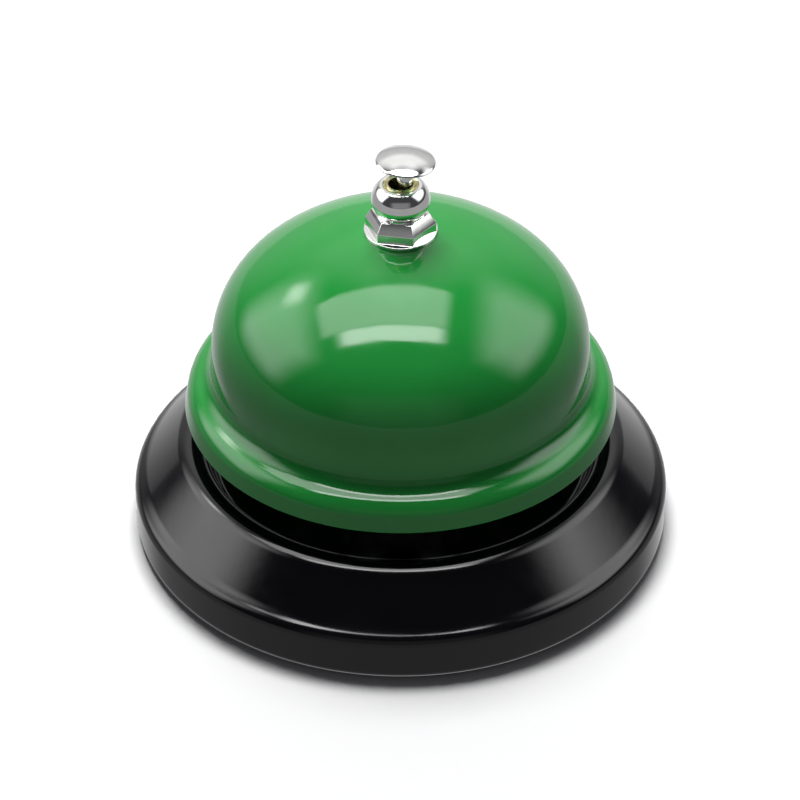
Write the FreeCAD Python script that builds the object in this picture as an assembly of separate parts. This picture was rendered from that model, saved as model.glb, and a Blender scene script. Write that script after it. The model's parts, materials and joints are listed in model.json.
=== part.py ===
import FreeCAD, Part
import os
from math import acos, atan2, cos, degrees, hypot, pi, radians, sin, sqrt, tan

# Counter service bell: a pressed steel base, a painted dome on a hollow post, and a plunger
# that leans in its guide and tips a pivoted hammer against the inside of the dome.
# Millimetres. +Z is up, the origin is the centre of the foot ring's resting face.
# The hammer swings in the YZ plane, behind the post.

# ---- whole object ------------------------------------------------------------------------
TOTAL_HEIGHT = 60.0
BASE_RADIUS = 37.5
SHEET = 0.8                      # thickness of both pressed sheets

# ---- base shell --------------------------------------------------------------------------
CURL_RADIUS = 1.2                # rolled-in bottom edge
LIP_BOTTOM = 0.5
LIP_INNER_RADIUS = 35.0
BRIM_EDGE_RADIUS = 1.8           # rounding between the wall and the brim
BRIM_EDGE_HEIGHT = 5.9           # where that rounding starts
BRIM_NORMAL = 60.0               # steepest normal on the brim, degrees above horizontal
SWEEP_RADIUS = 4.0               # hollow sweep between the brim and the slope
CREST_RADIUS = 29.4              # circle that the crest runs on
CREST_ROUNDING = 2.6
CREST_TOP = 14.1
FLOOR_TOP = 9.8
FLOOR_FILLET = 2.0

# ---- rubber foot ring --------------------------------------------------------------------
FOOT_INNER_RADIUS = 33.4
FOOT_OUTER_RADIUS = 36.2
FOOT_UPPER_LIP_RADIUS = 35.9
FOOT_TOP = 2.0
FOOT_EDGE = 0.25

# ---- dome --------------------------------------------------------------------------------
SKIRT_BOTTOM = 19.45
SKIRT_FLARE = 11.3               # degrees, the skirt opens downwards
SHOULDER_CENTRE = (26.5, 20.95)
SHOULDER_RADIUS = 3.2
GROOVE_RADIUS = 3.0              # hollow between the shoulder and the wall
WALL_RADIUS = 26.08
WALL_TOP = 28.75
KNUCKLE_RADIUS = 15.3
CAP_RADIUS = 31.61
DOME_HOLE_RADIUS = 2.6

# ---- centre post and its fasteners -------------------------------------------------------
POST_RADIUS = 2.5
POST_BORE = 1.9
POST_BOTTOM = 30.6
POST_TOP = 51.4
POST_FLANGE_RADIUS = 4.2
POST_FLANGE = 1.0
HEX_FLATS = 8.0
POST_NUT_HEIGHT = 2.0
LOCK_WASHER = 0.4
SEAT_WASHER_TOP = 46.9
SEAT_WASHER = 1.0
SEAT_WASHER_RADIUS = 5.0
SEAT_NUT_HEIGHT = 2.3
GUIDE_TOP = 41.0
GUIDE_LENGTH = 2.0
GUIDE_BORE = 1.15

# ---- finial nut --------------------------------------------------------------------------
NUT_TURN = -10.0                 # degrees, the front flat's turn from square
NUT_BOTTOM = 47.86
NUT_RECESS_RADIUS = 4.1
NUT_RECESS_TOP = 48.1
FLANGE_RADIUS = 5.0
FLANGE_BOTTOM = 47.74            # at its edge, so the underside follows the dome
FLANGE_TOP = 48.25
FLANGE_EDGE = 0.12
NUT_CORNER_RADIUS = 4.86
NUT_HEX_TOP = 49.6
SHOULDER_TOP_CORNER = 3.95
SHOULDER_TOP = 51.0
NECK_RADIUS = 3.35
NECK_HEIGHT = 51.3
BALL_RADIUS = 4.0
BALL_CENTRE = 52.9
BALL_TOP = 55.3
BALL_TOP_RADIUS = 2.9
BUSH_RADIUS = 2.42
BUSH_BORE = 1.7
BUSH_BOTTOM = 51.8
BUSH_OUTER_RIM = 55.15
BUSH_INNER_RIM = 55.4

# ---- plunger, drawn upright and then leaned over ------------------------------------------
LEAN = 2.8                       # degrees towards +X
LEAN_HEIGHT = 45.7               # where the leaning axis crosses the post's axis
TRAVEL = 2.5
ROD_RADIUS = 0.75
ROD_TOP = 59.3
BUTTON_RADIUS = 3.95
BUTTON_EDGE = 59.0
BUTTON_EDGE_THICKNESS = 0.3
BUTTON_UNDER = 58.5
COLLAR_RADIUS = 1.1
COLLAR_BOTTOM = 51.6
CLIP_RADIUS = 1.25
CLIP_THICKNESS = 0.4
CLIP_GAP = 0.2
SPRING_WIRE = 0.3
SPRING_RADIUS = 1.08             # mean radius of the coil
SPRING_TURNS = 9

# ---- bracket and pivot -------------------------------------------------------------------
STRAP = 1.2
BRACKET_INSIDE = 6.0             # half the gap between the two legs
BRACKET_FRONT = -4.0
BRACKET_BACK = 6.0
BRACKET_TOP = 34.6
BEND_RADIUS = 1.0                # inside radius of the strap's bends
FOOT_END = 14.5
RIVET_PLACE = 11.0
RIVET_RADIUS = 1.5
RIVET_HEAD_RADIUS = 2.6
RIVET_HEAD = 1.0
PIVOT_Y = 3.7
PIVOT_Z = 27.0
PIN_RADIUS = 1.0
PIN_HEAD_RADIUS = 1.8
PIN_HEAD = 1.0
PIN_END = 8.6
PIN_CLIP_PLACE = 7.3
PIN_CLIP_GROOVE = 0.7
PIN_CLIP_RADIUS = 1.9
PIN_CLIP_THICKNESS = 0.5
SPACER_RADIUS = 1.9
SPACER_START = 3.25
SPACER_CLEARANCE = 0.05

# ---- striker, drawn level along +Y from its pivot and then dropped to rest ----------------
END_ANGLE = 3.0                  # degrees above level when the plunger is fully down
TIP_CLEARANCE = 0.12             # gap between the rod's tip and the tail
EYE_RADIUS = 2.7
EYE_HALF_LENGTH = 3.0
ARM_THICKNESS = 1.1
ARM_HALF_WIDTH = 2.5
TAB_START = 13.6
TAB_TOP = 2.4
TAIL_REACH = 5.6
HAMMER_START = 14.7
HAMMER_END = 21.1
HAMMER_RADIUS = 2.8
HAMMER_NOSE = 1.1                # length of the rounded nose
HAMMER_RIVET_RADIUS = 1.0
HAMMER_RIVET_DEPTH = 2.5
HAMMER_RIVET_HEAD_RADIUS = 1.5
HAMMER_RIVET_HEAD = 0.7
SLEEVE_RADIUS = 1.9
SLEEVE_BORE = 1.05

V = FreeCAD.Vector
ORIGIN = V(0, 0, 0)
X_AXIS = V(1, 0, 0)
Y_AXIS = V(0, 1, 0)
Z_AXIS = V(0, 0, 1)

# The tail is level half way through the stroke, so the two halves of its swing are equal.
HALF_SWING = degrees(atan2(TRAVEL / 2, PIVOT_Y))
REST_ANGLE = END_ANGLE - 2 * HALF_SWING


def polar(centre, radius, angle):
    """Point on a circle, angle in degrees."""
    return (centre[0] + radius * cos(radians(angle)), centre[1] + radius * sin(radians(angle)))


def flat_vector(point):
    """A profile's (radius, height) as a point in the XZ plane."""
    return V(point[0], 0, point[1])


def line(start, end):
    return Part.makeLine(flat_vector(start), flat_vector(end))


def arc(centre, radius, start, end):
    middle = polar(centre, radius, (start + end) / 2)
    points = [polar(centre, radius, start), middle, polar(centre, radius, end)]
    return Part.Arc(*[flat_vector(point) for point in points]).toShape()


def crown(edge_radius, edge_height, top_height):
    """Spherical cap from its top on the axis to its edge."""
    rise = top_height - edge_height
    radius = (rise ** 2 + edge_radius ** 2) / (2 * rise)
    centre = (0, top_height - radius)
    return arc(centre, radius, 90, degrees(atan2(edge_height - centre[1], edge_radius)))


def arc_through(start, middle, end):
    return Part.Arc(flat_vector(start), flat_vector(middle), flat_vector(end)).toShape()


def end_points(edge):
    first, last = edge.ParameterRange
    return edge.valueAt(first), edge.valueAt(last)


def turned(edges):
    """Solid of revolution about Z from a closed profile."""
    face = Part.Face(Part.Wire(Part.__sortEdges__(edges)))
    return tidy(face.revolve(ORIGIN, Z_AXIS, 360))


def turned_polygon(points):
    edges = [line(a, b) for a, b in zip(points, points[1:] + points[:1])]
    return turned(edges)


def tidy(shape):
    """One clean solid, facing outwards."""
    solid = Part.Solid(shape.Shells[0]) if shape.ShapeType != "Solid" else shape
    if solid.Volume < 0:
        solid.reverse()
    return solid


def ring(outer, inner, bottom, top):
    return turned_polygon([(inner, bottom), (outer, bottom), (outer, top), (inner, top)])


def rod(radius, bottom, top):
    return Part.makeCylinder(radius, top - bottom, V(0, 0, bottom))


def hexagon(corner_radius, height, turn=0.0):
    points = []
    for corner in range(7):
        x, y = polar((0, 0), corner_radius, turn + 60 * corner)
        points.append(V(x, y, height))
    return Part.makePolygon(points)


def hex_nut(flats, bore, bottom, top):
    """Plain nut with both faces chamfered."""
    corner_radius = flats / sqrt(3)
    prism = Part.Face(hexagon(corner_radius, bottom)).extrude(V(0, 0, top - bottom))
    cut = (corner_radius - flats / 2) * tan(radians(30))
    blank = turned_polygon([(0, bottom), (flats / 2, bottom), (corner_radius, bottom + cut),
                            (corner_radius, top - cut), (flats / 2, top), (0, top)])
    return tidy(prism.common(blank).cut(rod(bore, bottom, top)).Solids[0])


def save(name, shapes):
    solids = []
    for shape in shapes:
        solids += shape.Solids
    result = solids[0] if len(solids) == 1 else Part.makeCompound(solids)
    result.exportStep("parts/" + name + ".step")
    everything.extend(solids)
    volume = sum(solid.Volume for solid in solids)
    print(name, len(solids), "solid", round(volume, 2), "mm3", all(s.isValid() for s in solids))


# ---- base --------------------------------------------------------------------------------
def base_surface(depth):
    """Edges of the pressed base from the axis to the lip, at a depth below its show side."""
    crest_centre = (CREST_RADIUS, CREST_TOP - CREST_ROUNDING)
    brim_centre = (BASE_RADIUS - BRIM_EDGE_RADIUS, BRIM_EDGE_HEIGHT)
    sweep_centre = polar(brim_centre, BRIM_EDGE_RADIUS + SWEEP_RADIUS, BRIM_NORMAL)
    across = sweep_centre[0] - crest_centre[0]
    down = sweep_centre[1] - crest_centre[1]
    reach = (CREST_ROUNDING + SWEEP_RADIUS) / hypot(across, down)
    slope_normal = degrees(acos(reach) + atan2(down, across))
    crest = CREST_ROUNDING - depth
    sweep = SWEEP_RADIUS + depth
    brim = BRIM_EDGE_RADIUS - depth
    curl = CURL_RADIUS - depth
    fillet = FLOOR_FILLET + depth
    fillet_centre = (CREST_RADIUS - CREST_ROUNDING - FLOOR_FILLET, FLOOR_TOP + FLOOR_FILLET)
    curl_centre = (BASE_RADIUS - CURL_RADIUS, LIP_BOTTOM + CURL_RADIUS)
    lip = (LIP_INNER_RADIUS, LIP_BOTTOM + depth)
    return [
        line((0, FLOOR_TOP - depth), polar(fillet_centre, fillet, -90)),
        arc(fillet_centre, fillet, -90, 0),
        line(polar(fillet_centre, fillet, 0), polar(crest_centre, crest, 180)),
        arc(crest_centre, crest, 180, slope_normal),
        line(polar(crest_centre, crest, slope_normal),
             polar(sweep_centre, sweep, 180 + slope_normal)),
        arc(sweep_centre, sweep, 180 + slope_normal, 180 + BRIM_NORMAL),
        arc(brim_centre, brim, BRIM_NORMAL, 0),
        line(polar(brim_centre, brim, 0), polar(curl_centre, curl, 0)),
        arc(curl_centre, curl, 0, -90),
        line(polar(curl_centre, curl, -90), lip),
    ]


def base_shell():
    edges = base_surface(0) + base_surface(SHEET)
    edges.append(line((LIP_INNER_RADIUS, LIP_BOTTOM), (LIP_INNER_RADIUS, LIP_BOTTOM + SHEET)))
    edges.append(line((0, FLOOR_TOP), (0, FLOOR_TOP - SHEET)))
    shell = turned(edges)
    for side in (-1, 1):
        shell = shell.cut(rivet_hole(side))
    return tidy(shell.Solids[0])


def foot_ring():
    lip_top = LIP_BOTTOM + SHEET
    return turned_polygon([
        (FOOT_INNER_RADIUS, 0), (FOOT_OUTER_RADIUS - FOOT_EDGE, 0),
        (FOOT_OUTER_RADIUS, FOOT_EDGE), (FOOT_OUTER_RADIUS, LIP_BOTTOM),
        (LIP_INNER_RADIUS, LIP_BOTTOM), (LIP_INNER_RADIUS, lip_top),
        (FOOT_UPPER_LIP_RADIUS, lip_top), (FOOT_UPPER_LIP_RADIUS, FOOT_TOP),
        (FOOT_INNER_RADIUS, FOOT_TOP)])


# ---- dome --------------------------------------------------------------------------------
def dome_surface(depth):
    """Edges of the dome from the skirt's hem to the centre hole, at a depth inside it."""
    knuckle_centre = (WALL_RADIUS - KNUCKLE_RADIUS, WALL_TOP)
    centre_gap = CAP_RADIUS - KNUCKLE_RADIUS
    cap_centre = (0, WALL_TOP - sqrt(centre_gap ** 2 - knuckle_centre[0] ** 2))
    knuckle_end = degrees(acos(knuckle_centre[0] / centre_gap))
    groove_r = WALL_RADIUS + GROOVE_RADIUS
    spread = SHOULDER_RADIUS + GROOVE_RADIUS
    groove_z = SHOULDER_CENTRE[1] + sqrt(spread ** 2 - (groove_r - SHOULDER_CENTRE[0]) ** 2)
    groove_centre = (groove_r, groove_z)
    meeting = degrees(atan2(groove_z - SHOULDER_CENTRE[1], groove_r - SHOULDER_CENTRE[0]))
    shoulder = SHOULDER_RADIUS - depth
    groove = GROOVE_RADIUS + depth
    knuckle = KNUCKLE_RADIUS - depth
    cap = CAP_RADIUS - depth
    skirt_top = polar(SHOULDER_CENTRE, shoulder, SKIRT_FLARE)
    hem = SKIRT_BOTTOM + SHEET / 2
    skirt_end = (skirt_top[0] + (skirt_top[1] - hem) * tan(radians(SKIRT_FLARE)), hem)
    hole_angle = degrees(acos(DOME_HOLE_RADIUS / cap))
    return [
        line(skirt_end, skirt_top),
        arc(SHOULDER_CENTRE, shoulder, SKIRT_FLARE, meeting),
        arc(groove_centre, groove, 180 + meeting, 180),
        line(polar(groove_centre, groove, 180), polar(knuckle_centre, knuckle, 0)),
        arc(knuckle_centre, knuckle, 0, knuckle_end),
        arc(cap_centre, cap, knuckle_end, hole_angle),
    ]


def dome():
    outside = dome_surface(0)
    inside = dome_surface(SHEET)
    outer_hem = end_points(outside[0])[0]
    inner_hem = end_points(inside[0])[0]
    outer_rim = end_points(outside[-1])[1]
    inner_rim = end_points(inside[-1])[1]
    hem = Part.Arc(outer_hem, V((outer_hem.x + inner_hem.x) / 2, 0, SKIRT_BOTTOM), inner_hem)
    edges = outside + inside + [hem.toShape(), Part.makeLine(outer_rim, inner_rim)]
    return turned(edges)


# ---- post and fasteners ------------------------------------------------------------------
def centre_post():
    flange_top = BRACKET_TOP + POST_FLANGE
    return turned_polygon([
        (POST_BORE, POST_BOTTOM), (POST_RADIUS, POST_BOTTOM), (POST_RADIUS, BRACKET_TOP),
        (POST_FLANGE_RADIUS, BRACKET_TOP), (POST_FLANGE_RADIUS, flange_top),
        (POST_RADIUS, flange_top), (POST_RADIUS, POST_TOP), (POST_BORE, POST_TOP)])


def post_lock_washer():
    top = BRACKET_TOP - STRAP
    return ring(HEX_FLATS / 2, POST_RADIUS, top - LOCK_WASHER, top)


def post_nut():
    top = BRACKET_TOP - STRAP - LOCK_WASHER
    return hex_nut(HEX_FLATS, POST_RADIUS, top - POST_NUT_HEIGHT, top)


def seat_nut():
    top = SEAT_WASHER_TOP - SEAT_WASHER
    return hex_nut(HEX_FLATS, POST_RADIUS, top - SEAT_NUT_HEIGHT, top)


def seat_washer():
    return ring(SEAT_WASHER_RADIUS, POST_RADIUS, SEAT_WASHER_TOP - SEAT_WASHER, SEAT_WASHER_TOP)


def guide_bush():
    return ring(POST_BORE, GUIDE_BORE, GUIDE_TOP - GUIDE_LENGTH, GUIDE_TOP)


# ---- finial nut --------------------------------------------------------------------------
def finial_nut():
    """Round flange, hexagon, faceted shoulder, neck and flattened ball in one piece."""
    flange = turned_polygon([(0, NUT_BOTTOM), (NUT_RECESS_RADIUS, NUT_BOTTOM),
                             (FLANGE_RADIUS, FLANGE_BOTTOM),
                             (FLANGE_RADIUS, FLANGE_TOP - FLANGE_EDGE),
                             (FLANGE_RADIUS - FLANGE_EDGE, FLANGE_TOP), (0, FLANGE_TOP)])
    prism = Part.Face(hexagon(NUT_CORNER_RADIUS, NUT_BOTTOM, NUT_TURN))
    prism = prism.extrude(V(0, 0, NUT_HEX_TOP - NUT_BOTTOM))
    shoulder = Part.makeLoft([hexagon(NUT_CORNER_RADIUS, NUT_HEX_TOP, NUT_TURN),
                              hexagon(SHOULDER_TOP_CORNER, SHOULDER_TOP, NUT_TURN)], True, True)

    low_drop = BALL_CENTRE - NECK_HEIGHT
    low_inset = BALL_RADIUS - NECK_RADIUS
    low_round = (low_inset ** 2 + low_drop ** 2) / (2 * low_inset)
    high_rise = BALL_TOP - BALL_CENTRE
    high_inset = BALL_RADIUS - BALL_TOP_RADIUS
    high_round = (high_inset ** 2 + high_rise ** 2) / (2 * high_inset)
    low_centre = (BALL_RADIUS - low_round, BALL_CENTRE)
    high_centre = (BALL_RADIUS - high_round, BALL_CENTRE)
    low_angle = -degrees(acos((NECK_RADIUS - low_centre[0]) / low_round))
    high_angle = degrees(acos((BALL_TOP_RADIUS - high_centre[0]) / high_round))
    neck_foot = SHOULDER_TOP - 1.0
    ball = turned([
        line((0, neck_foot), (NECK_RADIUS, neck_foot)),
        line((NECK_RADIUS, neck_foot), (NECK_RADIUS, NECK_HEIGHT)),
        arc(low_centre, low_round, low_angle, 0),
        arc(high_centre, high_round, 0, high_angle),
        line((BALL_TOP_RADIUS, BALL_TOP), (0, BALL_TOP)),
        line((0, BALL_TOP), (0, neck_foot))])
    body = flange.fuse([prism, shoulder, ball]).removeSplitter()
    body = body.cut(rod(NUT_RECESS_RADIUS, FLANGE_BOTTOM, NUT_RECESS_TOP))
    body = body.cut(rod(POST_RADIUS, NUT_RECESS_TOP, BUSH_BOTTOM))
    body = body.cut(rod(BUSH_RADIUS, BUSH_BOTTOM, BALL_TOP))
    return tidy(body.Solids[0])


def nut_bush():
    return turned_polygon([(BUSH_BORE, BUSH_BOTTOM), (BUSH_RADIUS, BUSH_BOTTOM),
                           (BUSH_RADIUS, BUSH_OUTER_RIM), (BUSH_BORE, BUSH_INNER_RIM)])


# ---- plunger -----------------------------------------------------------------------------
def leaned(shape):
    result = shape.copy()
    result.rotate(V(0, 0, LEAN_HEIGHT), Y_AXIS, LEAN)
    return result


def tip_height():
    """Lowest point of the rod's rounded end, a hair above the striker's tail."""
    contact = PIVOT_Z + PIVOT_Y * tan(radians(HALF_SWING))
    return contact + ROD_RADIUS / cos(radians(HALF_SWING)) - ROD_RADIUS + TIP_CLEARANCE


def plunger_rod():
    tip = tip_height()
    edges = [arc((0, tip + ROD_RADIUS), ROD_RADIUS, -90, 0),
             line((ROD_RADIUS, tip + ROD_RADIUS), (ROD_RADIUS, ROD_TOP)),
             line((ROD_RADIUS, ROD_TOP), (0, ROD_TOP)),
             line((0, ROD_TOP), (0, tip))]
    return leaned(turned(edges))


def button_cap():
    under_edge = (BUTTON_RADIUS, BUTTON_EDGE - BUTTON_EDGE_THICKNESS)
    middle = (BUTTON_RADIUS + BUTTON_EDGE_THICKNESS / 4, BUTTON_EDGE - BUTTON_EDGE_THICKNESS / 2)
    edges = [crown(BUTTON_RADIUS, BUTTON_EDGE, TOTAL_HEIGHT),
             arc_through((BUTTON_RADIUS, BUTTON_EDGE), middle, under_edge),
             line(under_edge, (COLLAR_RADIUS, BUTTON_UNDER)),
             line((COLLAR_RADIUS, BUTTON_UNDER), (ROD_RADIUS, BUTTON_UNDER)),
             line((ROD_RADIUS, BUTTON_UNDER), (ROD_RADIUS, ROD_TOP)),
             line((ROD_RADIUS, ROD_TOP), (0, ROD_TOP)),
             line((0, ROD_TOP), (0, TOTAL_HEIGHT))]
    return leaned(turned(edges))


def stem_collar():
    return leaned(ring(COLLAR_RADIUS, ROD_RADIUS, COLLAR_BOTTOM, BUTTON_UNDER))


def retaining_clip():
    top = GUIDE_TOP - GUIDE_LENGTH - CLIP_GAP
    clip = ring(CLIP_RADIUS, ROD_RADIUS, top - CLIP_THICKNESS, top)
    mouth = Part.makeBox(CLIP_RADIUS * 2, ROD_RADIUS, CLIP_THICKNESS * 3,
                         V(0, -ROD_RADIUS / 2, top - CLIP_THICKNESS * 2))
    return leaned(tidy(clip.cut(mouth).Solids[0]))


def return_spring():
    """Coil between the guide bush and the collar, standing on its own leaning axis."""
    bottom = GUIDE_TOP + SPRING_WIRE / 2
    height = COLLAR_BOTTOM - GUIDE_TOP - SPRING_WIRE
    helix = Part.makeHelix(height / SPRING_TURNS, height, SPRING_RADIUS)
    helix.translate(V(0, 0, bottom))
    start = V(SPRING_RADIUS, 0, bottom)
    circle = Part.Wire(Part.makeCircle(SPRING_WIRE / 2, start, Y_AXIS))
    coil = Part.Wire(helix).makePipeShell([circle], True, True)
    return leaned(tidy(coil))


# ---- bracket and pivot -------------------------------------------------------------------
def rivet_hole(side):
    hole = rod(RIVET_RADIUS, FLOOR_TOP - SHEET * 2, FLOOR_TOP + STRAP * 2)
    hole.translate(V(side * RIVET_PLACE, (BRACKET_FRONT + BRACKET_BACK) / 2, 0))
    return hole


def bracket_half(depth):
    """Edges of the strap's right half, at a depth inside its upper and outer face."""
    outside = BRACKET_INSIDE + STRAP
    bend = BEND_RADIUS + STRAP - depth
    foot_bend = BEND_RADIUS + depth
    top_centre = (outside - BEND_RADIUS - STRAP, BRACKET_TOP - BEND_RADIUS - STRAP)
    foot_centre = (outside + BEND_RADIUS, FLOOR_TOP + STRAP + BEND_RADIUS)
    return [
        line((0, BRACKET_TOP - depth), polar(top_centre, bend, 90)),
        arc(top_centre, bend, 90, 0),
        line(polar(top_centre, bend, 0), polar(foot_centre, foot_bend, 180)),
        arc(foot_centre, foot_bend, 180, 270),
        line(polar(foot_centre, foot_bend, 270), (FOOT_END, FLOOR_TOP + STRAP - depth)),
    ]


def hammer_bracket():
    """Strap bent into an arch with two outward feet."""
    edges = bracket_half(0) + bracket_half(STRAP)
    edges.append(line((FOOT_END, FLOOR_TOP), (FOOT_END, FLOOR_TOP + STRAP)))
    edges.append(line((0, BRACKET_TOP), (0, BRACKET_TOP - STRAP)))
    half = Part.Face(Part.Wire(Part.__sortEdges__(edges)))
    half = half.extrude(V(0, BRACKET_BACK - BRACKET_FRONT, 0))
    half.translate(V(0, BRACKET_FRONT, 0))
    bracket = half.fuse(half.mirror(ORIGIN, X_AXIS)).removeSplitter()
    bracket = bracket.cut(rod(POST_RADIUS, POST_BOTTOM, BRACKET_TOP))
    bracket = bracket.cut(across(PIN_RADIUS, -PIN_END, PIN_END))
    for side in (-1, 1):
        bracket = bracket.cut(rivet_hole(side))
    return tidy(bracket.Solids[0])


def across(radius, start, end):
    """Cylinder along the pivot's axis."""
    return Part.makeCylinder(radius, end - start, V(start, PIVOT_Y, PIVOT_Z), X_AXIS)


def bracket_rivets():
    rivets = []
    for side in (-1, 1):
        foot = FLOOR_TOP + STRAP
        under = FLOOR_TOP - SHEET
        head = turned([line((0, under - RIVET_HEAD), (RIVET_HEAD_RADIUS * 0.75, under - RIVET_HEAD)),
                       line((RIVET_HEAD_RADIUS * 0.75, under - RIVET_HEAD), (RIVET_HEAD_RADIUS, under)),
                       line((RIVET_HEAD_RADIUS, under), (RIVET_RADIUS, under)),
                       line((RIVET_RADIUS, under), (RIVET_RADIUS, foot)),
                       line((RIVET_RADIUS, foot), (RIVET_HEAD_RADIUS, foot)),
                       crown(RIVET_HEAD_RADIUS, foot, foot + RIVET_HEAD),
                       line((0, foot + RIVET_HEAD), (0, under - RIVET_HEAD))])
        head.translate(V(side * RIVET_PLACE, (BRACKET_FRONT + BRACKET_BACK) / 2, 0))
        rivets.append(head)
    return rivets


def pivot_pin():
    head_start = -(BRACKET_INSIDE + STRAP) - PIN_HEAD
    pin = across(PIN_RADIUS, head_start, PIN_END)
    pin = pin.fuse(across(PIN_HEAD_RADIUS, head_start, head_start + PIN_HEAD))
    groove_end = PIN_CLIP_PLACE + PIN_CLIP_THICKNESS
    groove = across(PIN_RADIUS * 2, PIN_CLIP_PLACE, groove_end)
    groove = groove.cut(across(PIN_CLIP_GROOVE, PIN_CLIP_PLACE, groove_end))
    return tidy(pin.cut(groove).removeSplitter().Solids[0])


def pivot_clip():
    end = PIN_CLIP_PLACE + PIN_CLIP_THICKNESS
    clip = across(PIN_CLIP_RADIUS, PIN_CLIP_PLACE, end)
    clip = clip.cut(across(PIN_CLIP_GROOVE, PIN_CLIP_PLACE, end))
    mouth = Part.makeBox(PIN_CLIP_THICKNESS, PIN_CLIP_GROOVE * 1.6, PIN_CLIP_RADIUS * 2,
                         V(PIN_CLIP_PLACE, PIVOT_Y - PIN_CLIP_GROOVE * 0.8, PIVOT_Z))
    return tidy(clip.cut(mouth).Solids[0])


def pivot_spacers():
    spacers = []
    end = BRACKET_INSIDE - SPACER_CLEARANCE
    for start, stop in ((SPACER_START, end), (-end, -SPACER_START)):
        spacer = across(SPACER_RADIUS, start, stop).cut(across(PIN_RADIUS, start, stop))
        spacers.append(tidy(spacer.Solids[0]))
    return spacers


# ---- striker -----------------------------------------------------------------------------
def at_rest(shape):
    """From level along +Y, pivot at the origin, to the rest position on the pivot pin."""
    result = shape.copy()
    result.rotate(ORIGIN, X_AXIS, REST_ANGLE)
    result.translate(V(0, PIVOT_Y, PIVOT_Z))
    return result


def arm_box(half_width, start, end, bottom, top):
    return Part.makeBox(half_width * 2, end - start, top - bottom, V(-half_width, start, bottom))


def along(radius, start, end):
    """Cylinder along the level arm's axis."""
    return Part.makeCylinder(radius, end - start, V(0, start, 0), Y_AXIS)


def striker_arm():
    """Stamped strap: rolled eye, arm with an upturned end, and a tail under the plunger."""
    eye = Part.makeCylinder(EYE_RADIUS, EYE_HALF_LENGTH * 2, V(-EYE_HALF_LENGTH, 0, 0), X_AXIS)
    low = -EYE_RADIUS
    strap = arm_box(ARM_HALF_WIDTH, 0, HAMMER_START, low, low + ARM_THICKNESS)
    tab = arm_box(ARM_HALF_WIDTH, TAB_START, HAMMER_START, low, TAB_TOP)
    tail = arm_box(ARM_HALF_WIDTH, -TAIL_REACH, 0, -ARM_THICKNESS, 0)
    tail.rotate(ORIGIN, X_AXIS, -HALF_SWING - REST_ANGLE)
    body = eye.fuse([strap, tab, tail]).removeSplitter()
    body = body.cut(along(HAMMER_RIVET_RADIUS, TAB_START, HAMMER_START))
    hole = Part.makeCylinder(SLEEVE_RADIUS, EYE_HALF_LENGTH * 2, V(-EYE_HALF_LENGTH, 0, 0), X_AXIS)
    return at_rest(tidy(body.cut(hole).Solids[0]))


def pivot_sleeve():
    length = EYE_HALF_LENGTH * 2
    sleeve = Part.makeCylinder(SLEEVE_RADIUS, length, V(-EYE_HALF_LENGTH, 0, 0), X_AXIS)
    bore = Part.makeCylinder(SLEEVE_BORE, length, V(-EYE_HALF_LENGTH, 0, 0), X_AXIS)
    return at_rest(tidy(sleeve.cut(bore).Solids[0]))


def lay_along_arm(shape):
    """Turned about Z in the profile's own frame, laid down so that +Z becomes +Y."""
    shape.rotate(ORIGIN, X_AXIS, -90)
    return at_rest(shape)


def hammer_head():
    bore_end = HAMMER_START + HAMMER_RIVET_DEPTH
    nose_start = HAMMER_END - HAMMER_NOSE
    edges = [line((HAMMER_RIVET_RADIUS, HAMMER_START), (HAMMER_RADIUS, HAMMER_START)),
             line((HAMMER_RADIUS, HAMMER_START), (HAMMER_RADIUS, nose_start)),
             crown(HAMMER_RADIUS, nose_start, HAMMER_END),
             line((0, HAMMER_END), (0, bore_end)),
             line((0, bore_end), (HAMMER_RIVET_RADIUS, bore_end)),
             line((HAMMER_RIVET_RADIUS, bore_end), (HAMMER_RIVET_RADIUS, HAMMER_START))]
    return lay_along_arm(turned(edges))


def hammer_rivet():
    head_start = TAB_START - HAMMER_RIVET_HEAD
    shank = turned_polygon([(0, head_start), (HAMMER_RIVET_HEAD_RADIUS * 0.8, head_start),
                            (HAMMER_RIVET_HEAD_RADIUS, TAB_START),
                            (HAMMER_RIVET_RADIUS, TAB_START),
                            (HAMMER_RIVET_RADIUS, HAMMER_START + HAMMER_RIVET_DEPTH),
                            (0, HAMMER_START + HAMMER_RIVET_DEPTH)])
    return lay_along_arm(shank)


PIECES = {
    "base_shell": base_shell,
    "foot_ring": foot_ring,
    "hammer_bracket": hammer_bracket,
    "bracket_rivets": bracket_rivets,
    "pivot_pin": pivot_pin,
    "pivot_clip": pivot_clip,
    "pivot_spacers": pivot_spacers,
    "centre_post": centre_post,
    "post_lock_washer": post_lock_washer,
    "post_nut": post_nut,
    "guide_bush": guide_bush,
    "seat_nut": seat_nut,
    "seat_washer": seat_washer,
    "dome": dome,
    "finial_nut": finial_nut,
    "nut_bush": nut_bush,
    "button_cap": button_cap,
    "plunger_rod": plunger_rod,
    "stem_collar": stem_collar,
    "retaining_clip": retaining_clip,
    "return_spring": return_spring,
    "striker_arm": striker_arm,
    "pivot_sleeve": pivot_sleeve,
    "hammer_head": hammer_head,
    "hammer_rivet": hammer_rivet,
}

os.makedirs("parts", exist_ok=True)
everything = []
for piece_name, make_piece in PIECES.items():
    made = make_piece()
    save(piece_name, made if isinstance(made, list) else [made])
box = Part.makeCompound(everything).optimalBoundingBox()
print("size", round(box.XLength, 3), round(box.YLength, 3), round(box.ZLength, 3),
      "from", round(box.ZMin, 3), "to", round(box.ZMax, 3))
print("swing", round(2 * HALF_SWING, 4), "deg, ratio",
      round(radians(2 * HALF_SWING) / (TRAVEL / 1000), 4), "rad/m")
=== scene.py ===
import json
from math import acos, atan2, cos, degrees, hypot, pi, radians, sin, sqrt, tan

import bmesh
import bpy
from mathutils import Matrix, Vector


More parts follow.
